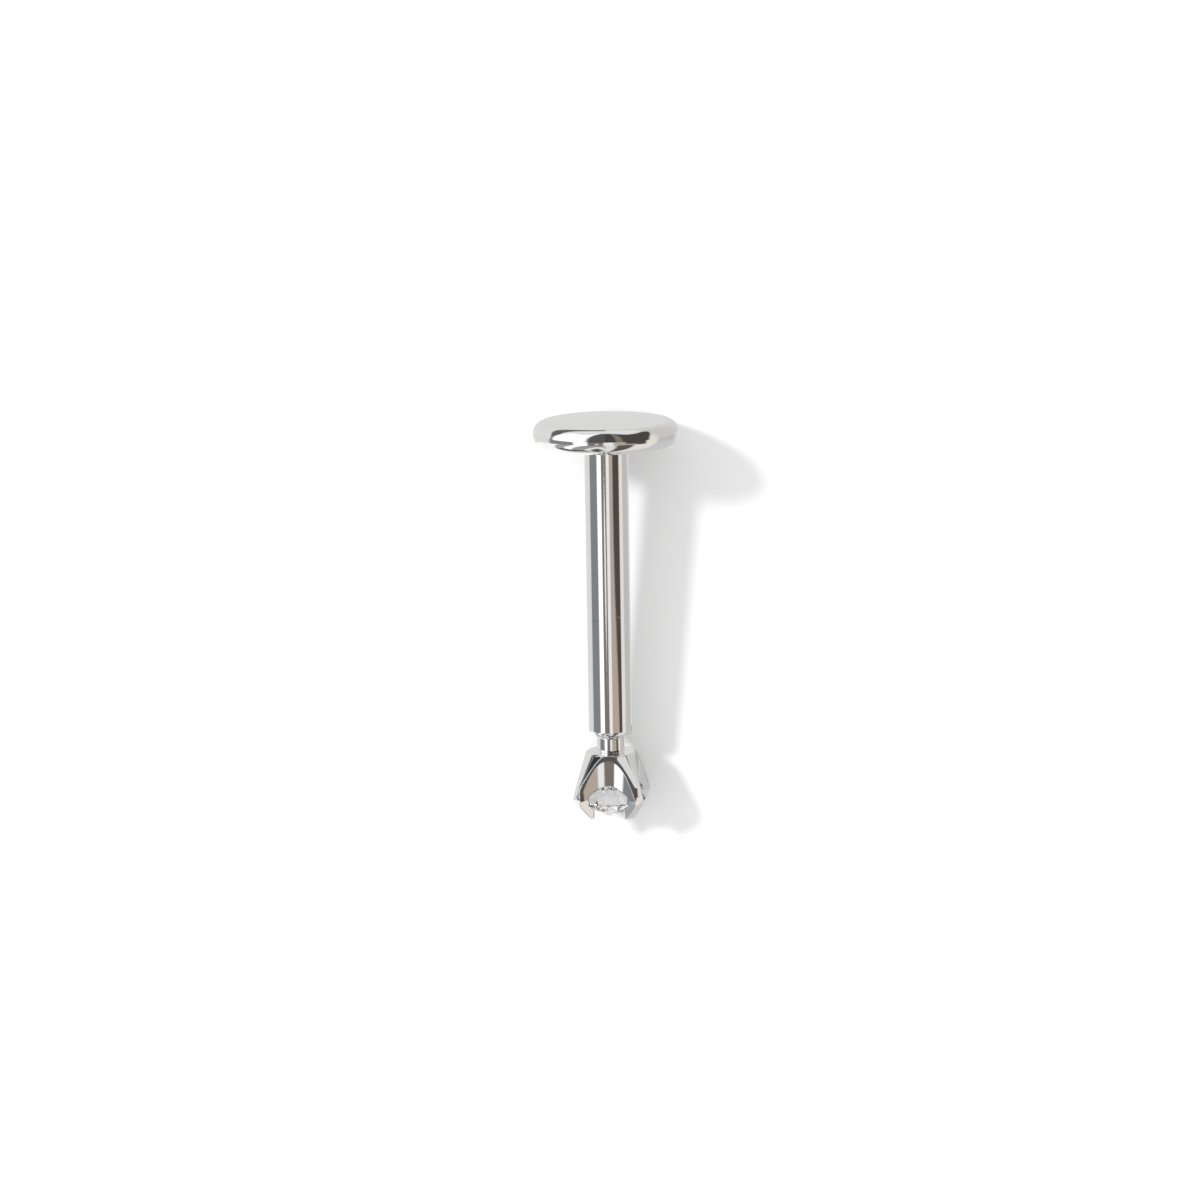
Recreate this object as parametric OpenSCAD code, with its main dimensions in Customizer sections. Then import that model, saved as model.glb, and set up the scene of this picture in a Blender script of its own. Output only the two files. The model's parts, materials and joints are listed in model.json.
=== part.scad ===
// Labret stud: a flat-backed piercing post with a plug-in head, four claws and a
// round brilliant stone. It lies on a surface as it comes to rest by itself: on the
// rim of its disc and on two of its claws. Millimetres, surface at z = 0, disc at +Y.

/* [Disc] */
// Diameter of the flat disc that sits inside the lip
disc_d = 4; // [3:0.01:6]
// Thickness of the disc
disc_t = 0.7; // [0.5:0.01:1.2]
// Width of the flat that is left round the edge of the disc
disc_edge = 0.06; // [0.02:0.01:0.3]

/* [Post] */
// Diameter of the post
post_d = 1.2; // [1:0.01:1.6]
// Length of the post from the disc to its open end
post_len = 8.08; // [5:0.01:16]
// Radius of the rounded rim at the open end
post_round = 0.14; // [0.05:0.01:0.2]
// Radius of the fillet between post and disc
post_fillet = 0.08; // [0.04:0.01:0.2]
// Depth of the blind bore that takes the pin
bore_depth = 2.3; // [1:0.1:4]

/* [Neck and pin] */
// Diameter of the neck that shows between post and head
neck_d = 0.75; // [0.7:0.01:0.9]
// Length of the neck that shows
neck_len = 0.46; // [0.2:0.01:1]
// Chamfer at the foot of the neck
neck_chamfer = 0.06; // [0.02:0.01:0.08]
// Diameter of the plain pin
pin_d = 0.5; // [0.4:0.01:0.54]
// Length of the pin below the neck
pin_len = 2; // [0.6:0.1:3.6]
// Gap all round between two pieces that fit together
fit_gap = 0.02; // [0.01:0.005:0.03]

/* [Claw setting] */
// Diameter of the flat face under the head
base_d = 1.36; // [1.2:0.01:1.6]
// Edge break round that face
base_chamfer = 0.03; // [0.01:0.01:0.06]
// Widest diameter of the head, over the claws
belt_d = 2.48; // [2.3:0.01:2.7]
// Slope of the cone under the claws, from the axis
cone_angle = 29.7; // [26:0.1:34]
// Radius that blends the cone into the belt
belt_blend = 0.79; // [0.4:0.01:1]
// Distance of each side flat from the axis, at the face under the head
flat_base = 0.677; // [0.6:0.005:0.72]
// Lean of each side flat, outwards from the axis
flat_lean = 14; // [11:0.1:16]
// Radius of the cutter that makes each hollow flute
flute_r = 1.225; // [1:0.01:1.6]
// Distance of the bottom of each flute from the axis
flute_floor = 0.712; // [0.66:0.01:0.8]
// Diameter inside the claws, under the stone
claw_bore_d = 1.98; // [1.9:0.01:2.1]
// Outer radius of the bend in each claw
claw_bend_r = 0.45; // [0.36:0.01:0.6]
// Angle that each claw is bent over
claw_bend = 44; // [40:1:58]
// Length of the straight claw end past the bend
claw_end_len = 0.36; // [0.2:0.01:0.45]
// Lean of each claw's sides past the belt, which narrows it towards its tip
claw_taper = 11; // [6:1:16]
// Radius of the half round claw tip, seen from above
claw_tip_r = 0.15; // [0.12:0.01:0.18]
// Angle of the conical cup under the stone, from the axis
cup_angle = 47; // [42:1:50]
// Depth of the cup's cone below the girdle, where it is as wide as the stone
cup_drop = 0.25; // [0.2:0.01:0.3]

/* [Stone] */
// Diameter of the stone at its girdle
stone_d = 1.88; // [1.84:0.01:1.92]
// Height of the girdle's lower edge above the face under the head
girdle_z = 1.33; // [1.3:0.01:1.4]
// Thickness of the girdle
girdle_t = 0.05; // [0.03:0.01:0.08]
// Width of the table across its corners, as a share of the diameter
table_share = 0.57; // [0.5:0.01:0.65]
// Slope of the eight main crown facets
crown_angle = 34.5; // [30:0.5:38]
// Slope of the eight main pavilion facets
pavilion_angle = 41; // [38:0.5:43]
// Reach of the star facets from the table to the girdle, as a share
star_share = 0.55; // [0.4:0.01:0.65]
// Reach of the lower girdle facets from the girdle to the culet, as a share
lower_share = 0.77; // [0.6:0.01:0.85]

/* [Hidden] */
$fn = 96;
claws = 4;
mains = 8;

// Along the stud: its own z axis runs from the face of the disc to the stone
disc_r = disc_d / 2;
rim_r = (disc_t - disc_edge) / 2;
rim_ring = disc_r - rim_r;
post_r = post_d / 2;
post_end = disc_t + post_len;
pin_foot = neck_len + pin_len;
bore_d = pin_d + 2 * fit_gap;
head_z = post_end + fit_gap + neck_len;

// The head's own heights start at the face under it
base_r = base_d / 2;
belt_r = belt_d / 2;
claw_bore_r = claw_bore_d / 2;
blend_ring = belt_r - belt_blend;
blend_start_r = blend_ring + belt_blend * cos(cone_angle);
blend_start_z = (blend_start_r - base_r) / tan(cone_angle);
belt_z = blend_start_z + belt_blend * sin(cone_angle);
flute_axis = flute_floor + flute_r;
flat_at_belt = flat_base + belt_z * tan(flat_lean);
bend_ring = belt_r - claw_bend_r;
claw_t = belt_r - claw_bore_r;
claw_half_angle = 180 / claws - acos(flat_at_belt / belt_r);
claw_half_w = belt_r * sin(claw_half_angle);
cup_top = girdle_z - cup_drop + (claw_bore_r - stone_d / 2) / tan(cup_angle);
// Degrees by which the bend's section runs into the body and into the straight end
claw_root = 1;

// The side of a gap at the belt runs from the bore, where the flute breaks into it,
// out to the edge of the flat
flat_half_w = sqrt(pow(belt_r, 2) - pow(flat_at_belt, 2));
break_x = (pow(flute_axis, 2) + pow(claw_bore_r, 2) - pow(flute_r, 2)) / (2 * flute_axis);
break_y = sqrt(pow(claw_bore_r, 2) - pow(break_x, 2));
flank_turn = atan((flat_half_w - break_y) / (flat_at_belt - break_x));
gap_foot = belt_z - cup_top;

// Where the claws end: their tips' outer point and the ring of their round ends
claw_end_r = bend_ring + (claw_bend_r - claw_t / 2) * cos(claw_bend)
    - claw_end_len * sin(claw_bend) - claw_t / 2;
tip_ring = claw_end_r + claw_tip_r;
claw_top = belt_z + (claw_bend_r - claw_t / 2) * sin(claw_bend)
    + claw_end_len * cos(claw_bend) + claw_t / 2;

// Stone: radius, heights and the points that its facets pass through
stone_r = stone_d / 2;
half_step = 360 / mains / 2;
quarter_step = half_step / 2;
table_r = stone_r * table_share;
table_mid = table_r * cos(half_step);
crown_h = (stone_r - table_r) * tan(crown_angle);
star_r = table_mid + star_share * (stone_r - table_mid);
star_h = (stone_r - star_r * cos(half_step)) * tan(crown_angle);
star_angle = atan((crown_h - star_h) / (star_r - table_mid));
chord_r = stone_r * cos(quarter_step);
upper_angle = atan(star_h / (chord_r - star_r * cos(quarter_step)));
lower_r = stone_r * (1 - lower_share);
lower_h = (stone_r - lower_r * cos(half_step)) * tan(pavilion_angle);
lower_angle = atan(lower_h / (chord_r - lower_r * cos(quarter_step)));
culet_h = stone_r * tan(pavilion_angle);
girdle_top = girdle_z + girdle_t;
table_z = girdle_top + crown_h;

// Past every surface, for cutters
over = 1;

// How far disc and head reach below the axis when the stud is tipped by a,
// measured from the centre of the disc's face
function disc_reach(a) = rim_ring * cos(a) + (disc_t - rim_r) * sin(a) + rim_r;
claw_edge = sqrt(pow(belt_r, 2) - pow(claw_half_w, 2)) - bend_ring;
function head_reach(a) =
    (bend_ring * cos(180 / claws) + claw_half_w * sin(180 / claws)) * cos(a)
    + (head_z + belt_z) * sin(a)
    + claw_edge * sqrt(pow(cos(180 / claws) * cos(a), 2) + pow(sin(a), 2));
// The tip at which both reach equally far, found by halving a range of degrees
function level(low, high, steps) =
    let (mid = (low + high) / 2)
    steps == 0 ? mid
    : head_reach(mid) > disc_reach(mid) ? level(low, mid, steps - 1)
    : level(mid, high, steps - 1);
tilt_limit = 30;
halvings = 40;
lay_tilt = level(0, tilt_limit, halvings);
lay_height = disc_reach(lay_tilt);

// Ends of the lying stud along Y, for an origin under its middle
lay_front = (head_z + claw_top) * cos(lay_tilt) + tip_ring * cos(180 / claws) * sin(lay_tilt);
lay_back = rim_ring * sin(lay_tilt) - rim_r * cos(lay_tilt) + rim_r;
lay_shift = (lay_front - lay_back) / 2;

// Lays the stud down, flute upwards, from its own axis into the part's frame
module lay() {
    translate([0, lay_shift, lay_height])
        rotate([90 + lay_tilt, 0, 0])
            children();
}

// Section of the disc: flat faces between two full round rims
module disc_section() {
    square([rim_ring, disc_t]);
    translate([rim_ring, rim_r])
        circle(rim_r);
    translate([rim_ring, disc_t - rim_r])
        circle(rim_r);
    translate([0, rim_r])
        square([disc_r, disc_t - 2 * rim_r]);
}

// Section of the post, with its fillet on the disc and its rounded open end
module post_section() {
    square([post_r - post_round, post_end]);
    square([post_r, post_end - post_round]);
    translate([post_r - post_round, post_end - post_round])
        circle(post_round);
    difference() {
        translate([0, disc_t])
            square([post_r + post_fillet, post_fillet]);
        translate([post_r + post_fillet, disc_t + post_fillet])
            circle(post_fillet);
    }
}

module labret_post() {
    color("silver")
        lay()
            difference() {
                rotate_extrude() {
                    disc_section();
                    post_section();
                }
                translate([0, 0, post_end - bore_depth])
                    cylinder(d = bore_d, h = bore_depth + over);
            }
}

// Turned neck and pin, down from the face under the head
module neck_and_pin() {
    translate([0, 0, -neck_len + neck_chamfer])
        cylinder(d = neck_d, h = neck_len - neck_chamfer + base_chamfer);
    translate([0, 0, -neck_len])
        cylinder(d1 = neck_d - 2 * neck_chamfer, d2 = neck_d, h = neck_chamfer);
    translate([0, 0, -pin_foot])
        cylinder(d = pin_d, h = pin_foot);
}

// Section of the claws past the belt, from the centre of their bend: bent over,
// then straight to a full round end
module claw_section() {
    intersection() {
        difference() {
            circle(claw_bend_r);
            circle(claw_bend_r - claw_t);
        }
        polygon([
            [0, 0],
            [belt_d * cos(claw_root), -belt_d * sin(claw_root)],
            [belt_d * cos(claw_bend + claw_root), belt_d * sin(claw_bend + claw_root)]
        ]);
    }
    rotate(claw_bend) {
        translate([claw_bend_r - claw_t, 0])
            square([claw_t, claw_end_len]);
        translate([claw_bend_r - claw_t / 2, claw_end_len])
            circle(claw_t / 2);
    }
}

// Turned blank of the head: edge break, cone, round blend, conical cup and straight
// bore under the stone, and the band that becomes the claws
module head_blank() {
    rotate_extrude() {
        polygon([
            [0, 0],
            [base_r - base_chamfer, 0],
            [base_r + base_chamfer * tan(cone_angle), base_chamfer],
            [blend_start_r, blend_start_z],
            [blend_start_r, belt_z],
            [claw_bore_r, belt_z],
            [claw_bore_r, cup_top],
            [0, cup_top - claw_bore_r / tan(cup_angle)]
        ]);
        intersection() {
            translate([blend_ring, belt_z])
                circle(belt_blend);
            translate([claw_bore_r, blend_start_z])
                square([claw_t + over, belt_z - blend_start_z]);
        }
        translate([bend_ring, belt_z])
            claw_section();
    }
}

// One leaning side flat and the hollow flute in it, as cutters
module side_cut() {
    translate([flat_base, 0, 0])
        rotate([0, flat_lean, 0])
            translate([0, -belt_d, -over])
                cube([belt_d, 2 * belt_d, belt_d + 2 * over]);
    translate([flute_axis, 0, -over])
        cylinder(r = flute_r, h = belt_d + 2 * over);
}

// One gap between two claws past the belt: it carries the walls of the flute on
// upwards, leaning back into the claws
module gap_cut() {
    intersection_for(side = [-1, 1])
        translate([flat_at_belt, side * flat_half_w, belt_z])
            rotate([0, 0, side * flank_turn])
                rotate([-side * claw_taper, 0, 0])
                    translate([-belt_d, side > 0 ? -2 * belt_d : 0, -gap_foot])
                        cube([3 * belt_d, 2 * belt_d, belt_d]);
}

// Plan of all claw tips: what lies inside their ring, apart from the half round ends
module tip_trim() {
    linear_extrude(2 * belt_d)
        difference() {
            circle(tip_ring);
            for (k = [0 : claws - 1])
                rotate((k + 0.5) * 360 / claws)
                    translate([tip_ring, 0])
                        circle(claw_tip_r);
        }
}

// Room for the stone with the fitting gap all round: it passes outside the corners
// where the star facets meet the girdle facets and the table
module stone_room() {
    room_r = stone_r + fit_gap;
    grow_low = fit_gap / cos(pavilion_angle);
    grow_high = fit_gap / cos(upper_angle);
    culet_z = girdle_z - culet_h - grow_low;
    rotate_extrude()
        polygon([
            [0, culet_z],
            [room_r, culet_z + room_r * tan(pavilion_angle)],
            [room_r, girdle_top + grow_high],
            [star_r, girdle_top + star_h + grow_high],
            [table_r, table_z + grow_high],
            [0, table_z + grow_high]
        ]);
}

module claw_setting() {
    color("silver")
        lay()
            translate([0, 0, head_z]) {
                neck_and_pin();
                difference() {
                    head_blank();
                    stone_room();
                    for (k = [0 : claws - 1])
                        rotate([0, 0, k * 360 / claws]) {
                            side_cut();
                            gap_cut();
                        }
                    translate([0, 0, girdle_top])
                        tip_trim();
                }
            }
}

// Flat-sided pyramid through the whole height of the stone. Its sides pass at
// distance r from the axis at height z, with this slope: above zero they lean in
// towards the table, below zero towards the culet. Turn is the azimuth of one side
module pyramid(sides, r, z, slope, turn) {
    low_z = girdle_z - culet_h;
    rotate([0, 0, turn + 180 / sides])
        translate([0, 0, low_z])
            cylinder(
                r1 = max(0, r + (z - low_z) / tan(slope)) / cos(180 / sides),
                r2 = max(0, r + (z - table_z) / tan(slope)) / cos(180 / sides),
                h = table_z - low_z,
                $fn = sides
            );
}

// Round brilliant: a round girdle inside the five rings of facets
module stone() {
    color("white")
        lay()
            translate([0, 0, head_z])
                intersection() {
                    translate([0, 0, girdle_z - culet_h])
                        cylinder(r = stone_r, h = culet_h + girdle_t + crown_h);
                    pyramid(mains, stone_r, girdle_top, crown_angle, 0);
                    pyramid(mains, table_mid, table_z, star_angle, half_step);
                    pyramid(mains, stone_r, girdle_z, -pavilion_angle, 0);
                    intersection_for(side = [-1, 1])
                        pyramid(mains, chord_r, girdle_top, upper_angle, side * quarter_step);
                    intersection_for(side = [-1, 1])
                        pyramid(mains, chord_r, girdle_z, -lower_angle, side * quarter_step);
                }
}

labret_post();
claw_setting();
stone();
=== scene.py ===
# %% [markdown]
# # A labret stud in polished steel, lying on white paper
#
# The stud has three pieces: a flat-backed post, a plug-in claw head and a round
# brilliant stone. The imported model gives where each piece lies. This script gives
# the pieces their fine surfaces, their metal and stone, and the studio round them.

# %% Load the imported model
import json
from math import asin, atan, cos, degrees, pi, radians, sin, sqrt, tan

import bmesh
import bpy
from mathutils import Matrix, Vector

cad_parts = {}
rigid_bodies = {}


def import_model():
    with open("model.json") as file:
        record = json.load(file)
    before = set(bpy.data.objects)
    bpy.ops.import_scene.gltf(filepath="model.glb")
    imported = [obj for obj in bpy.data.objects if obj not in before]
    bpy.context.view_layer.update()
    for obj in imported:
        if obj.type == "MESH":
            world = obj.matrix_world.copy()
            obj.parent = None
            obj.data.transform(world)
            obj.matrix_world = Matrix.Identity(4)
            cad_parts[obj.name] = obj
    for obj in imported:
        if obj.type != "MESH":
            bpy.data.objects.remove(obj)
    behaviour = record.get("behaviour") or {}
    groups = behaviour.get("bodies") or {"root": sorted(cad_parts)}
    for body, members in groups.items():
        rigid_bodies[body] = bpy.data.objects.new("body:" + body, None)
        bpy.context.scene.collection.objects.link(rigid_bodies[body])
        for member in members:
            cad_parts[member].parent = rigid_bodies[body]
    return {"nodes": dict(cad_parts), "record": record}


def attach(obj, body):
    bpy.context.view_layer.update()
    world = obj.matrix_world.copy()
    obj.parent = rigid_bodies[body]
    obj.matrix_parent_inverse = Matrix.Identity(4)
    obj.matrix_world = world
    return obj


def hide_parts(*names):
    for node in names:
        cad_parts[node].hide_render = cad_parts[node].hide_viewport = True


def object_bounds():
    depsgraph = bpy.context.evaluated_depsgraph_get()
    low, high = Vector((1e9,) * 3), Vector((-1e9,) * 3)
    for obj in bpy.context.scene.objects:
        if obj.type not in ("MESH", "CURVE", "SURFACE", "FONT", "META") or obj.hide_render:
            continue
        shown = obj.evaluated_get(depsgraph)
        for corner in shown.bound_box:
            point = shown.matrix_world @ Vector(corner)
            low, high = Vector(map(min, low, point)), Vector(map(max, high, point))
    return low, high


for left_over in list(bpy.data.objects):
    bpy.data.objects.remove(left_over)
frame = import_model()
cad_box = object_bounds()
print("nodes:", sorted(frame["nodes"]))

# %% [markdown]
# ## The stud's own axis
#
# A lathe hand measures a stud from the face of its disc along its axis. The record
# holds that face as a mount: its centre and its outward normal. One matrix from them
# lays each piece down, so all of them can be made upright, in millimetres, and no
# place is typed twice.

# %% The matrix that lays a piece down
MM = 0.001
face = next(m for m in frame["record"]["mounts"] if m["name"] == "disc_face")
stud_axis = Vector(face["axis"])
tilt = asin(stud_axis.z)
lay_down = (
    Matrix.Translation(face["pos_m"])
    @ Matrix.Rotation(pi / 2 + tilt, 4, "X")
    @ Matrix.Scale(MM, 4)
)
print(f"the stud tips by {degrees(tilt):.2f} degrees towards its stone")

# %% [markdown]
# ## Sizes
#
# These are the driving sizes of the three pieces, in millimetres, as a maker would
# write them on the drawing.

# %% Sizes of the post
disc_d, disc_t, disc_edge = 4.0, 0.7, 0.06
post_d, post_len, post_round, post_fillet = 1.2, 8.08, 0.14, 0.08
pin_d, pin_len, fit_gap, bore_depth = 0.5, 2.0, 0.02, 2.3
post_end = disc_t + post_len
rim_r = (disc_t - disc_edge) / 2
print(f"the post ends {post_end:.2f} mm from the face of the disc")

# %% Sizes of the head
neck_d, neck_len, neck_chamfer = 0.75, 0.46, 0.06
base_d, base_chamfer, belt_d, cone_angle, belt_blend = 1.36, 0.03, 2.48, radians(29.7), 0.79
flat_base, flat_lean = 0.677, radians(14)
flute_r, flute_floor = 1.225, 0.712
claws, claw_bore_d, claw_bend_r = 4, 1.98, 0.45
claw_bend, claw_end_len = radians(44), 0.36
claw_taper, claw_tip_r = radians(11), 0.15
cup_angle, cup_drop = radians(47), 0.25
head_z = post_end + fit_gap + neck_len

# %% Sizes of the stone
stone_d, girdle_z, girdle_t, mains = 1.88, 1.33, 0.05, 8
table_share, crown_angle, pavilion_angle = 0.57, radians(34.5), radians(41)
star_share, lower_share = 0.55, 0.77
stone_r = stone_d / 2
girdle_top = girdle_z + girdle_t
culet_z = girdle_z - stone_r * tan(pavilion_angle)
print(f"the point of the stone is {culet_z:.2f} mm above the face under the head")

# %% [markdown]
# The points and slopes of the facets follow from those sizes. The head needs them
# too, because its seat leaves the fitting gap all round the stone.

# %% Where the facets of the stone pass
half_step = pi / mains
quarter_step = half_step / 2
table_r = stone_r * table_share
table_mid = table_r * cos(half_step)
crown_h = (stone_r - table_r) * tan(crown_angle)
table_z = girdle_top + crown_h
star_r = table_mid + star_share * (stone_r - table_mid)
star_h = (stone_r - star_r * cos(half_step)) * tan(crown_angle)
star_angle = atan((crown_h - star_h) / (star_r - table_mid))
chord_r = stone_r * cos(quarter_step)
upper_angle = atan(star_h / (chord_r - star_r * cos(quarter_step)))
lower_r = stone_r * (1 - lower_share)
lower_h = (stone_r - lower_r * cos(half_step)) * tan(pavilion_angle)
lower_angle = atan(lower_h / (chord_r - lower_r * cos(quarter_step)))

# %% [markdown]
# ## Turning a piece
#
# Post and head are turned on a lathe, so each starts as half a section that is spun
# round the axis. The section is a short list of corners and arcs. A spin needs its
# doubles merged and its normals recalculated, because it can come out inside out.

# %% Helpers for turned pieces
TURN_STEPS, ARC_STEPS = 128, 14
WELD = 1e-5


def arc(x, z, r, start, end, steps=ARC_STEPS):
    """Points round (x, z), from one angle to another, both in radians."""
    angles = [start + (end - start) * k / steps for k in range(steps + 1)]
    return [(x + r * cos(a), z + r * sin(a)) for a in angles]


def turned(section):
    """A closed bmesh from a section whose two ends lie on the axis."""
    bm = bmesh.new()
    corners = [bm.verts.new((x, 0, z)) for x, z in section]
    edges = [bm.edges.new(pair) for pair in zip(corners, corners[1:])]
    bmesh.ops.spin(
        bm,
        geom=corners + edges,
        cent=(0, 0, 0),
        axis=(0, 0, 1),
        angle=2 * pi,
        steps=TURN_STEPS,
        use_merge=True,
    )
    bmesh.ops.remove_doubles(bm, verts=bm.verts, dist=WELD)
    bmesh.ops.recalc_face_normals(bm, faces=bm.faces)
    return bm


# %% Helpers that turn a bmesh into a finished piece
SHARP = radians(9)


def as_object(name, bm):
    """A plain object from a bmesh, still upright and in millimetres."""
    mesh = bpy.data.meshes.new(name)
    bm.to_mesh(mesh)
    bm.free()
    made = bpy.data.objects.new(name, mesh)
    bpy.context.scene.collection.objects.link(made)
    return made


def finish_piece(made, node, smooth=True):
    """Lays the piece down in its mesh and puts it in place of its CAD node."""
    made.data.transform(lay_down)
    made.data.update()
    if smooth:
        made.data.shade_smooth()
        made.data.set_sharp_from_angle(angle=SHARP)
    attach(made, "root")
    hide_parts(node)
    print(made.name, len(made.data.polygons), "faces")
    return made


# %% [markdown]
# ## The post and its disc
#
# On the real stud the disc and the post are one piece of steel. The disc's rim is
# full round, a small fillet joins it to the post, and the open end of the post is
# rounded over a blind bore for the pin of the head. A holding ring near each end
# keeps the long side straight in its reflections.

# %% The post
HOLD, FILLET_STEPS = 0.02, 8
disc_r, post_r, bore_r = disc_d / 2, post_d / 2, pin_d / 2 + fit_gap
rim_ring = disc_r - rim_r
post_section = [
    (0, 0),
    *arc(rim_ring, rim_r, rim_r, -pi / 2, 0),
    *arc(rim_ring, disc_t - rim_r, rim_r, 0, pi / 2),
    *arc(post_r + post_fillet, disc_t + post_fillet, post_fillet, -pi / 2, -pi, FILLET_STEPS),
    (post_r, disc_t + post_fillet + HOLD),
    (post_r, post_end - post_round - HOLD),
    *arc(post_r - post_round, post_end - post_round, post_round, 0, pi / 2),
    (bore_r, post_end),
    (bore_r, post_end - bore_depth),
    (0, post_end - bore_depth),
]
post = as_object("post_and_disc", turned(post_section))
post = finish_piece(post, "labret_post")

# %% [markdown]
# ## The blank of the head
#
# The head is also turned first: pin, neck, cone, a round belt, and a thin band past
# the belt that is bent over the stone. Later cuts leave only four claws of that band.

# %% Turn the blank
belt_r, base_r, claw_bore_r = belt_d / 2, base_d / 2, claw_bore_d / 2
claw_t = belt_r - claw_bore_r
bend_ring = belt_r - claw_bend_r
blend_ring = belt_r - belt_blend
blend_start_r = blend_ring + belt_blend * cos(cone_angle)
blend_start_z = (blend_start_r - base_r) / tan(cone_angle)
belt_z = blend_start_z + belt_blend * sin(cone_angle)
cup_top = girdle_z - cup_drop + (claw_bore_r - stone_r) / tan(cup_angle)
end_x = bend_ring + (claw_bend_r - claw_t / 2) * cos(claw_bend) - claw_end_len * sin(claw_bend)
end_z = belt_z + (claw_bend_r - claw_t / 2) * sin(claw_bend) + claw_end_len * cos(claw_bend)
blank_section = [
    (0, -neck_len - pin_len),
    (pin_d / 2, -neck_len - pin_len),
    (pin_d / 2, -neck_len),
    (neck_d / 2 - neck_chamfer, -neck_len),
    (neck_d / 2, -neck_len + neck_chamfer),
    (neck_d / 2, 0),
    (base_r - base_chamfer, 0),
    (base_r + base_chamfer * tan(cone_angle), base_chamfer),
    *arc(blend_ring, belt_z, belt_blend, -cone_angle, 0),
    *arc(bend_ring, belt_z, claw_bend_r, 0, claw_bend)[1:],
    *arc(end_x, end_z, claw_t / 2, claw_bend, claw_bend + pi),
    *arc(bend_ring, belt_z, claw_bend_r - claw_t, claw_bend, 0),
    (claw_bore_r, cup_top),
    (0, cup_top - claw_bore_r / tan(cup_angle)),
]
head = as_object("claw_head", turned(blank_section))
print(f"the belt of the head is {belt_z:.2f} mm above the face under it")

# %% [markdown]
# ## Cutting the head
#
# A setter mills flats and hollow flutes into the blank, opens the gaps between the
# claws and rounds the tips. Each cutter here is a small solid of its own, taken away
# by a Boolean modifier that is applied at once, so the finished piece is one mesh.

# %% Helpers that cut
REACH, OVER = 2 * belt_d, 1


def apply_boolean(target, cutter, operation="DIFFERENCE"):
    """Changes the target's mesh by the cutter and removes the cutter."""
    cut = target.modifiers.new("cut", "BOOLEAN")
    cut.operation, cut.object, cut.solver = operation, cutter, "MANIFOLD"
    graph = bpy.context.evaluated_depsgraph_get()
    result = bpy.data.meshes.new_from_object(target.evaluated_get(graph))
    target.modifiers.remove(cut)
    target.data = result
    bpy.data.objects.remove(cutter)


def block(low, high, place):
    """A box between two corners, moved by a matrix."""
    bm = bmesh.new()
    size = Vector(high) - Vector(low)
    middle = (Vector(low) + Vector(high)) / 2
    shape = place @ Matrix.Translation(middle) @ Matrix.Diagonal((*size, 1))
    bmesh.ops.create_cube(bm, size=1, matrix=shape)
    return as_object("block", bm)


def rod(r, low_z, high_z, x=0.0, turn=0.0, steps=TURN_STEPS):
    """An upright round bar at distance x from the axis, at one azimuth."""
    bm = bmesh.new()
    place = Matrix.Rotation(turn, 4, "Z") @ Matrix.Translation((x, 0, (low_z + high_z) / 2))
    bmesh.ops.create_cone(
        bm, cap_ends=True, segments=steps, radius1=r, radius2=r, depth=high_z - low_z, matrix=place
    )
    return as_object("rod", bm)


# %% Cut the flats, the flutes and the gaps
flat_at_belt = flat_base + belt_z * tan(flat_lean)
flute_axis = flute_floor + flute_r
flat_half_w = sqrt(belt_r**2 - flat_at_belt**2)
break_x = (flute_axis**2 + claw_bore_r**2 - flute_r**2) / (2 * flute_axis)
break_y = sqrt(claw_bore_r**2 - break_x**2)
flank_turn = atan((flat_half_w - break_y) / (flat_at_belt - break_x))


def gap_cutter(turn):
    """The gap between two claws: what lies between two planes that lean outwards."""
    sides = []
    for side in (-1, 1):
        place = (
            Matrix.Rotation(turn, 4, "Z")
            @ Matrix.Translation((flat_at_belt, side * flat_half_w, belt_z))
            @ Matrix.Rotation(side * flank_turn, 4, "Z")
            @ Matrix.Rotation(-side * claw_taper, 4, "X")
        )
        low_y, high_y = (-REACH, 0) if side > 0 else (0, REACH)
        sides.append(block((-belt_d, low_y, cup_top - belt_z), (REACH, high_y, REACH), place))
    apply_boolean(sides[0], sides[1], "INTERSECT")
    return sides[0]


for k in range(claws):
    turn = k * 2 * pi / claws
    flat_place = (
        Matrix.Rotation(turn, 4, "Z")
        @ Matrix.Translation((flat_base, 0, 0))
        @ Matrix.Rotation(flat_lean, 4, "Y")
    )
    apply_boolean(head, block((0, -REACH, -OVER), (REACH, REACH, REACH), flat_place))
    apply_boolean(head, rod(flute_r, -OVER, REACH, flute_axis, turn))
    apply_boolean(head, gap_cutter(turn))
print("after flats, flutes and gaps:", len(head.data.polygons), "faces")

# %% Round the tips and seat the stone
TIP_STEPS = 48
tip_ring = end_x - claw_t / 2 + claw_tip_r
trim = rod(tip_ring, girdle_top, REACH)
for k in range(claws):
    turn = (k + 0.5) * 2 * pi / claws
    keep = rod(claw_tip_r, girdle_top - OVER, REACH + OVER, tip_ring, turn, TIP_STEPS)
    apply_boolean(trim, keep)
apply_boolean(head, trim)

room_r = stone_r + fit_gap
grow_low, grow_high = fit_gap / cos(pavilion_angle), fit_gap / cos(upper_angle)
room_section = [
    (0, culet_z - grow_low),
    (room_r, culet_z - grow_low + room_r * tan(pavilion_angle)),
    (room_r, girdle_top + grow_high),
    (star_r, girdle_top + star_h + grow_high),
    (table_r, table_z + grow_high),
    (0, table_z + grow_high),
]
apply_boolean(head, as_object("room", turned(room_section)))
head.data.transform(Matrix.Translation((0, 0, head_z)))
head = finish_piece(head, "claw_setting")

# %% [markdown]
# ## The stone
#
# A brilliant is cut by laying one flat after another against the wheel. Bisecting a
# round blank with a plane does the same: the outside is cleared and the cut is
# capped. The facets stay flat shaded, because a facet is flat.

# %% Cut the brilliant
GIRDLE_STEPS = 192
ON_PLANE = 1e-6


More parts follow.
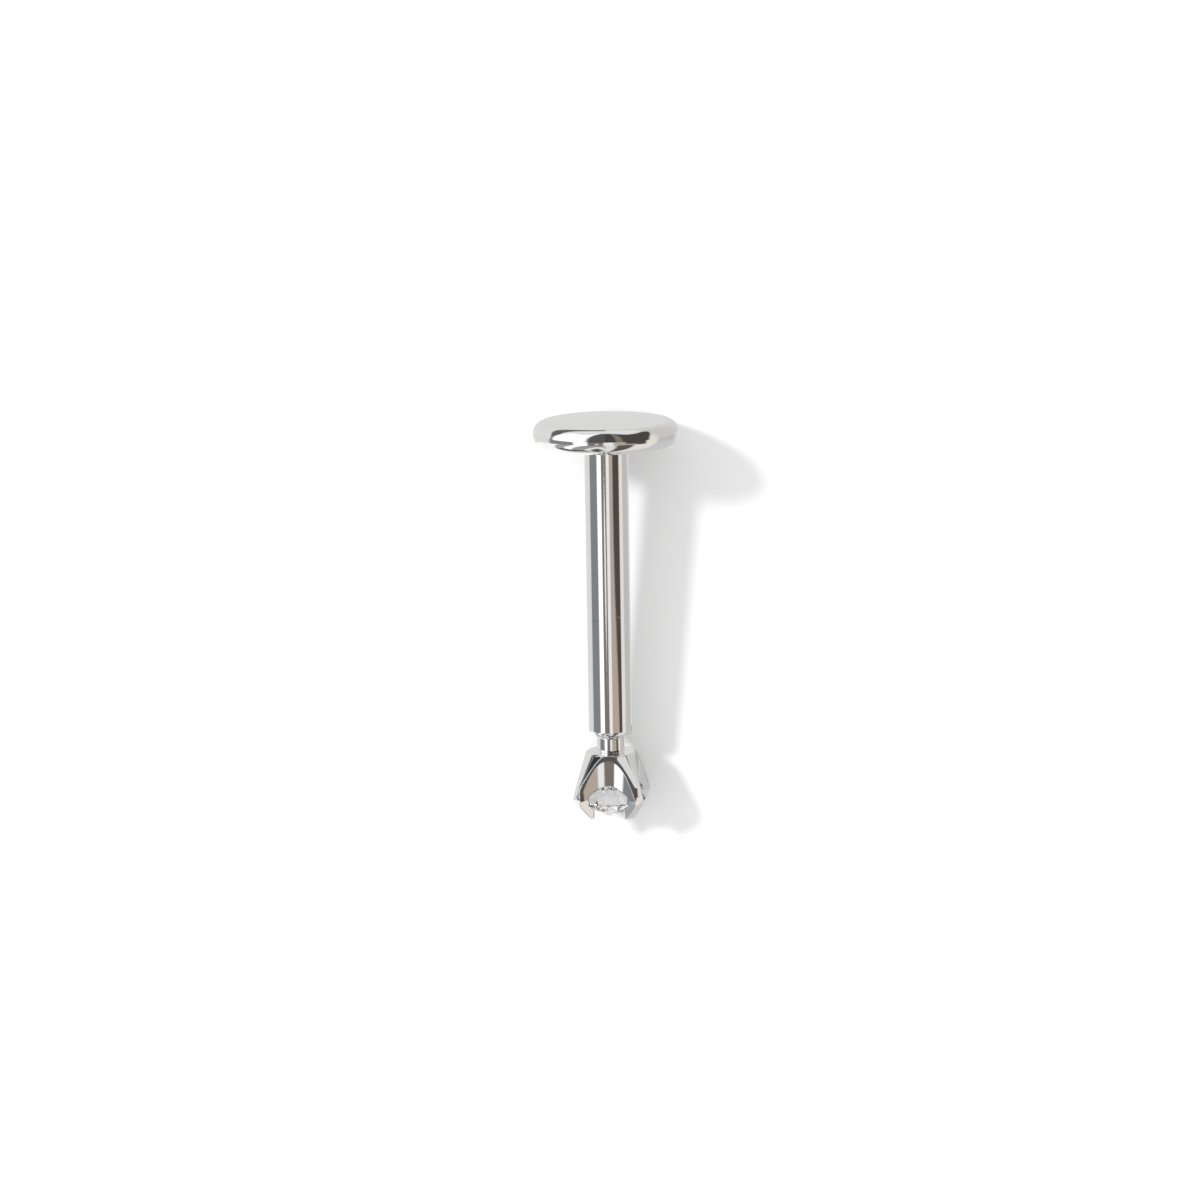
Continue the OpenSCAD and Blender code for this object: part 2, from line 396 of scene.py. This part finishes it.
def grind(bm, r, z, slope, azimuths):
    """Cuts one ring of facets: each passes radius r at height z, with this slope."""
    for az in azimuths:
        rise = cos(slope) if slope > 0 else -cos(slope)
        normal = Vector((sin(abs(slope)) * cos(az), sin(abs(slope)) * sin(az), rise))
        cut = bmesh.ops.bisect_plane(
            bm,
            geom=bm.verts[:] + bm.edges[:] + bm.faces[:],
            dist=ON_PLANE,
            plane_co=(r * cos(az), r * sin(az), z),
            plane_no=normal,
            clear_outer=True,
        )
        rim = [e for e in cut["geom_cut"] if isinstance(e, bmesh.types.BMEdge)]
        bmesh.ops.edgeloop_fill(bm, edges=rim)


at_mains = [k * 2 * half_step for k in range(mains)]
at_stars = [az + half_step for az in at_mains]
at_halves = [az + side * quarter_step for az in at_mains for side in (-1, 1)]
bm = bmesh.new()
bmesh.ops.create_cone(
    bm,
    cap_ends=True,
    segments=GIRDLE_STEPS,
    radius1=stone_r,
    radius2=stone_r,
    depth=table_z - culet_z,
    matrix=Matrix.Translation((0, 0, (table_z + culet_z) / 2)),
)
grind(bm, stone_r, girdle_top, crown_angle, at_mains)
grind(bm, table_mid, table_z, star_angle, at_stars)
grind(bm, chord_r, girdle_top, upper_angle, at_halves)
grind(bm, stone_r, girdle_z, -pavilion_angle, at_mains)
grind(bm, chord_r, girdle_z, -lower_angle, at_halves)
bmesh.ops.translate(bm, vec=(0, 0, head_z), verts=bm.verts)
bmesh.ops.recalc_face_normals(bm, faces=bm.faces)
stone = finish_piece(as_object("brilliant", bm), "stone", smooth=False)

# %% [markdown]
# ## Finishes as expressions
#
# A finish is a node tree. Writing its sums as Python keeps them readable: a small
# class wraps a socket, and each operator adds the Math node that it stands for.

# %% Node helpers
class Value:
    """A socket that can stand in an expression."""

    def __init__(self, sheet, socket):
        self.sheet, self.socket = sheet, socket

    def maths(self, operation, first, second):
        return self.sheet.node("ShaderNodeMath", {"operation": operation}, {0: first, 1: second})

    def __add__(self, other):
        return self.maths("ADD", self, other)

    def __radd__(self, other):
        return self.maths("ADD", other, self)

    def __sub__(self, other):
        return self.maths("SUBTRACT", self, other)

    def __rsub__(self, other):
        return self.maths("SUBTRACT", other, self)

    def __mul__(self, other):
        return self.maths("MULTIPLY", self, other)

    def __rmul__(self, other):
        return self.maths("MULTIPLY", other, self)

    def __truediv__(self, other):
        return self.maths("DIVIDE", self, other)


class Sheet:
    """A node tree that starts empty."""

    def __init__(self, tree):
        self.tree = tree
        tree.nodes.clear()

    def node(self, kind, settings=None, sockets=None, out=0):
        """Adds a node: its settings first, then the values or links of its sockets."""
        made = self.tree.nodes.new(kind)
        for name, setting in (settings or {}).items():
            if name == "stops":
                ramp = made.color_ramp.elements
                while len(ramp) < len(setting):
                    ramp.new(1.0)
                for stop, (place, colour) in zip(ramp, setting):
                    stop.position, stop.color = place, (*colour, 1)
            else:
                setattr(made, name, setting)
        for name, value in (sockets or {}).items():
            if isinstance(value, Value):
                self.tree.links.new(value.socket, made.inputs[name])
            else:
                made.inputs[name].default_value = value
        return Value(self, made.outputs[out]) if made.outputs else made


# %% [markdown]
# ## Polished steel
#
# The metal is surgical steel polished to a mirror, so nearly all of its look is what
# it reflects. Up close a buffed surface still has fine lines and a slight haze. They
# stay faint here: a small change in tint and roughness, and a bump far finer than a
# facet. Buffing also rounds each cut edge a little, by EDGE_SOFT in millimetres.

# %% The metal
EDGE_SOFT = 0.03


def polished_steel():
    finish = bpy.data.materials.new("polished_steel")
    finish.use_nodes = True
    sheet = Sheet(finish.node_tree)
    place = sheet.node("ShaderNodeTexCoord", out=3)
    haze = sheet.node("ShaderNodeTexNoise", {}, {"Vector": place, "Scale": 900.0, "Detail": 3.0})
    fine = sheet.node("ShaderNodeTexNoise", {}, {"Vector": place, "Scale": 9000.0, "Detail": 4.0})
    edges = sheet.node("ShaderNodeBevel", {"samples": 8}, {"Radius": EDGE_SOFT * MM})
    relief = {"Height": fine, "Strength": 0.02, "Distance": 0.00001, "Normal": edges}
    bump = sheet.node("ShaderNodeBump", {}, relief)
    tints = [(0.3, (0.845, 0.84, 0.835)), (0.7, (0.875, 0.87, 0.865))]
    tint = sheet.node("ShaderNodeValToRGB", {"stops": tints}, {"Fac": haze})
    steel = sheet.node(
        "ShaderNodeBsdfPrincipled",
        {},
        {
            "Base Color": tint,
            "Metallic": 1.0,
            "Roughness": 0.035 + haze * 0.03,
            "Normal": bump,
        },
    )
    sheet.node("ShaderNodeOutputMaterial", {}, {"Surface": steel})
    return finish


steel = polished_steel()
for piece in (post, head):
    piece.data.materials.clear()
    piece.data.materials.append(steel)

# %% [markdown]
# ## The clear stone
#
# The stone is cubic zirconia: clear, and with a high index, so it sends most light
# back through its crown. Only a trace of haze keeps its facets from looking empty.

# %% The stone's finish
def clear_zirconia():
    finish = bpy.data.materials.new("clear_zirconia")
    finish.use_nodes = True
    sheet = Sheet(finish.node_tree)
    place = sheet.node("ShaderNodeTexCoord", out=3)
    haze = sheet.node("ShaderNodeTexNoise", {}, {"Vector": place, "Scale": 1500.0, "Detail": 2.0})
    clear = sheet.node(
        "ShaderNodeBsdfPrincipled",
        {},
        {
            "Base Color": (0.99, 0.99, 1.0, 1),
            "Roughness": haze * 0.02,
            "IOR": 2.15,
            "Transmission Weight": 1.0,
        },
    )
    sheet.node("ShaderNodeOutputMaterial", {}, {"Surface": clear})
    return finish


stone.data.materials.clear()
stone.data.materials.append(clear_zirconia())

# %% [markdown]
# ## Camera
#
# The photograph looks nearly straight down, with the disc at the top and the stone
# at the bottom. The lens follows from how many pixels one millimetre takes there.

# %% Place the camera
IMAGE_PX = 1200
px_per_mm, distance = 36.3, 120.0
side, nod, roll = radians(7), radians(5.08), radians(-0.20)
target = Vector((-0.228, 0.467, 1.6)) * MM
back = Vector((sin(side) * cos(nod), sin(nod), cos(side) * cos(nod)))
right = Vector((0, 1, 0)).cross(back).normalized()
upward = back.cross(right)
camera_data = bpy.data.cameras.new("camera")
camera_data.sensor_width = 36
camera_data.lens = px_per_mm * distance / IMAGE_PX * camera_data.sensor_width
camera_data.clip_start, camera_data.clip_end = 0.001, 10
camera = bpy.data.objects.new("camera", camera_data)
turned_frame = Matrix((right, upward, back)).transposed().to_4x4() @ Matrix.Rotation(roll, 4, "Z")
camera.matrix_world = Matrix.Translation(target + back * distance * MM) @ turned_frame
bpy.context.scene.collection.objects.link(camera)
bpy.context.scene.camera = camera
print(f"lens {camera_data.lens:.1f} mm at {distance:.0f} mm")

# %% [markdown]
# ## Floor and light
#
# The stud lies on white paper. A window at the upper left casts the soft shadow, and
# a pale dome fills it. A mirror shows the room in stripes along the post, so the
# world is painted by the angle round the stud's own axis, for reflections alone.

# %% The paper
FLOOR_SIZE, FLOOR_GAP = 0.5, 0.00001
paper = bpy.data.materials.new("white_paper")
paper.use_nodes = True
sheet = Sheet(paper.node_tree)
place = sheet.node("ShaderNodeTexCoord", out=3)
grain = sheet.node("ShaderNodeTexNoise", {}, {"Vector": place, "Scale": 400.0, "Detail": 3.0})
matt = sheet.node(
    "ShaderNodeBsdfPrincipled",
    {"name": "paper"},
    {"Base Color": (0.9, 0.9, 0.9, 1), "Roughness": 0.85 + grain * 0.1, "Specular IOR Level": 0.0},
)
sheet.node("ShaderNodeOutputMaterial", {}, {"Surface": matt})
bm = bmesh.new()
bmesh.ops.create_grid(bm, x_segments=1, y_segments=1, size=FLOOR_SIZE)
floor = as_object("floor", bm)
floor.location.z = min(cad_box[0][2], 0) - FLOOR_GAP
floor.data.materials.append(paper)
floor.visible_glossy = False
floor.visible_transmission = False

# %% The window
sun_data = bpy.data.lights.new("window", "SUN")
sun_data.energy, sun_data.angle = 1.7, radians(9)
sun = bpy.data.objects.new("window", sun_data)
sun.rotation_euler = Vector((-3.4, 1.75, 4.0)).to_track_quat("Z", "Y").to_euler()
sun.visible_glossy = False
bpy.context.scene.collection.objects.link(sun)

# %% The room that the metal reflects
PICTURE_GAMMA, STEEL_SHARE = 2.2, 0.86
TURN = 360
ahead = (back - stud_axis * back.dot(stud_axis)).normalized()
beside = stud_axis.cross(ahead)
world = bpy.data.worlds.new("studio")
world.use_nodes = True
bpy.context.scene.world = world
sheet = Sheet(world.node_tree)
ray = sheet.node("ShaderNodeTexCoord", out=0)


def along(direction):
    """How far a ray points along a direction, from -1 to 1."""
    return sheet.node(
        "ShaderNodeVectorMath", {"operation": "DOT_PRODUCT"}, {0: ray, 1: direction}, out=1
    )


def ramped(value, low, high):
    """0 below low, 1 above high, and a smooth step between."""
    return sheet.node(
        "ShaderNodeMapRange",
        {"interpolation_type": "SMOOTHSTEP"},
        {"Value": value, "From Min": low, "From Max": high},
    )


def sum_of(operation, *values):
    """One Math node for what the operators of Value don't cover."""
    return sheet.node("ShaderNodeMath", {"operation": operation}, dict(enumerate(values)))


azimuth = sum_of("ARCTAN2", along(beside), along(ahead)) * degrees(1)
height = sum_of("ARCSINE", along(stud_axis)) * degrees(1)


def tone(grey, warmth=0.0):
    """A linear colour that the steel shows as this tone between 0 and 1 of a picture."""
    shifts = (warmth, 0.2 * warmth, -0.6 * warmth)
    return tuple(max(0.0, grey + shift) ** PICTURE_GAMMA / STEEL_SHARE for shift in shifts)


def stripes(bands, value):
    """Bands of one tone each, from one azimuth to another, with soft edges between."""
    stops = [(end / TURN + 0.5, colour) for low, high, colour in bands for end in (low, high)]
    return sheet.node("ShaderNodeValToRGB", {"stops": stops}, {"Fac": value / TURN + 0.5})


def over(mask, low_colour, high_colour):
    """The second colour where the mask is 1."""
    colours = {0: mask, 6: low_colour, 7: high_colour}
    return sheet.node("ShaderNodeMix", {"data_type": "RGBA"}, colours, out=2)


def from_spot(at_azimuth, at_height, wide, tall):
    """How far a ray is from a spot of the room: 1 on an ellipse round it."""
    across, up = (azimuth - at_azimuth) / wide, (height - at_height) / tall
    return sum_of("SQRT", across * across + up * up)


# %% Stripes across the post, the neck and the flutes
post_stripes = stripes(
    [
        (-180, -104, tone(0.84)),
        (-99, -56, tone(0.50, -0.01)),
        (-50, -32, tone(1.08)),
        (-28, -6, tone(0.43, 0.03)),
        (-3, 10, tone(0.90)),
        (13, 27, tone(0.67, 0.03)),
        (33, 64, tone(0.28, 0.02)),
        (69, 86, tone(0.85, 0.03)),
        (92, 130, tone(0.72, 0.01)),
        (150, 180, tone(0.83)),
    ],
    azimuth,
)

# %% What changes along the post
# A brown stripe widens towards the head, and a thin white line fades out before it
brown_edge = 28 + 22 * ramped(height * -1, 9.6, 12.9)
past_edge = ramped(azimuth - brown_edge, -2, 2)
widening = ramped(azimuth, 12, 16) * (1 - past_edge) * (1 - ramped(azimuth, 56, 62))
post_stripes = over(widening, post_stripes, (*tone(0.62, 0.06), 1))
thin_line = from_spot(-15, -10.4, 4, 1.2)
post_stripes = over(1 - ramped(thin_line, 0.7, 1.1), post_stripes, (*tone(0.96), 1))

# %% What the rim of the disc sees towards the disc
disc_stripes = stripes(
    [
        (-180, -179, tone(0.82)),
        (-150, -100, tone(0.85)),
        (-90, -37, tone(1.08)),
        (-28, -4, tone(0.33)),
        (0, 13, tone(0.27)),
        (17, 23, tone(0.45, 0.03)),
        (28, 108, tone(0.27, 0.02)),
        (118, 180, tone(0.82)),
    ],
    azimuth,
)

# %% Arcs and the ceiling on that side
left_spot = from_spot(-150, 5, 52, 40)
left_arc = (
    ramped(left_spot, 0.96, 1.04)
    * (1 - ramped(left_spot, 1.34, 1.46))
    * (1 - ramped(azimuth, -98, -88))
)
right_spot = from_spot(150, 0, 80, 62)
right_inside = stripes(
    [(60, 80, tone(0.84, 0.03)), (95, 130, tone(0.76, 0.01)), (179, 180, tone(0.82))], azimuth
)
ceiling_edge = 24 * ramped(sum_of("ABSOLUTE", azimuth), 26, 60)
disc_side = over(left_arc, disc_stripes, (*tone(0.38), 1))
disc_side = over(1 - ramped(right_spot, 0.94, 1.02), disc_side, right_inside)
disc_side = over(ramped(height + ceiling_edge, 80, 87), disc_side, (*tone(0.86), 1))

# %% What the head shows of the room past the stone
# The window's edge runs aslant there
slant = (height + 16) * -1.2 * (1 - ramped(azimuth, -20, 0))
stone_side = stripes(
    [
        (-180, -84, tone(0.97)),
        (-78, -58, tone(0.62, -0.01)),
        (-53, -37, tone(1.0)),
        (-32, -4, tone(0.58)),
        (1, 13, tone(0.85)),
        (20, 42, tone(0.33, 0.01)),
        (50, 84, tone(0.85, 0.03)),
        (92, 180, tone(0.76)),
    ],
    azimuth + slant,
)

# %% Join the three and light the paper and the stone evenly
past_stone, past_disc = ramped(height, -19, -16), ramped(height, -6, -3)
room = over(past_disc, over(past_stone, stone_side, post_stripes), disc_side)
on_paper = sheet.node("ShaderNodeLightPath", out=2)
times_through = sheet.node("ShaderNodeLightPath", out=12)
sparkle = stripes(
    [
        (-180, -110, tone(0.94)),
        (-90, -30, tone(1.06)),
        (-15, 45, tone(0.84)),
        (60, 120, tone(1.0)),
        (140, 180, tone(0.9)),
    ],
    azimuth,
)
in_mirrors = over(ramped(times_through, 0, 1), room, sparkle)
PLAIN_DOME = (0.95, 0.95, 0.95, 1)
seen = over(on_paper, in_mirrors, PLAIN_DOME)
dome = sheet.node("ShaderNodeBackground", {}, {"Color": seen, "Strength": 1.0})
sheet.node("ShaderNodeOutputWorld", {}, {"Surface": dome})
bpy.context.scene.view_settings.view_transform = "Standard"

# %% [markdown]
# ## Cards beside the head
#
# A photographer shapes the reflections of a small part with cards close to it: a
# black one draws a dark band along the cone, a white one opens its other side. Both
# are bent to a shallow cone that the post reflects edge-on, so its long stripes stay
# whole. A third, grey card on the paper under the head is a painted shadow: it stands in for the
# stud's own shadow there, as the steel reflects it. Each card glows with a set tone, and only
# reflections see the cards here.

# %% Cards beside the head
CARD_STEPS = 24


def sideways(turn):
    """The direction across the axis at one azimuth from the camera, in degrees."""
    return ahead * cos(radians(turn)) + beside * sin(radians(turn))


def beside_head(turn, reach, rise):
    """A place by azimuth, reach from the axis and rise from the face under the head."""
    return Vector(face["pos_m"]) + (sideways(turn) * reach + stud_axis * (rise - head_z)) * MM


def bend_edge_on(bm, apex_rise):
    """Bends a card to the cone of the rays that the post reflects from one height."""
    apex = beside_head(0, 0, apex_rise)
    drop = asin((camera.matrix_world.translation - apex).normalized().dot(stud_axis))
    for vert in bm.verts:
        rise = (vert.co - apex).dot(stud_axis)
        reach = (vert.co - apex - stud_axis * rise).length
        vert.co -= stud_axis * (rise + reach * tan(drop))


def card(name, near, far, half_width, grey, apex_rise=None):
    """A card between two places that glows with one set tone and is seen by reflections only."""
    first, last = beside_head(*near), beside_head(*far)
    across = stud_axis.cross(sideways((near[0] + far[0]) / 2)) * half_width * MM
    along_it = (last - first) / 2
    place = Matrix((across, along_it, across.cross(along_it).normalized())).transposed().to_4x4()
    place.translation = (first + last) / 2
    bm = bmesh.new()
    bmesh.ops.create_grid(bm, x_segments=CARD_STEPS, y_segments=CARD_STEPS, size=1, matrix=place)
    if apex_rise is not None:
        bend_edge_on(bm, apex_rise)
    made = as_object(name, bm)
    look = bpy.data.materials.new(name)
    look.use_nodes = True
    sheet = Sheet(look.node_tree)
    glow = sheet.node("ShaderNodeEmission", {}, {"Color": (*tone(grey), 1)})
    sheet.node("ShaderNodeOutputMaterial", {}, {"Surface": glow})
    made.data.materials.append(look)
    made.visible_camera = False
    made.visible_diffuse = False
    made.visible_shadow = False
    made.visible_transmission = False


card("black_card", (-45, 3.4, 3.2), (-88, 8, 2.3), 1.3, 0.22, apex_rise=3.84)
card("white_card", (42, 3.6, 3.3), (78, 8, 2.4), 1.0, 0.84, apex_rise=3.95)
# A painted shadow: this grey card on the paper under the head stands in for the stud's own shadow
# there, seen only in the steel
card("painted_shadow_card", (165, 2.2, -2.5), (165, 2.2, 0.25), 1.4, 0.64)
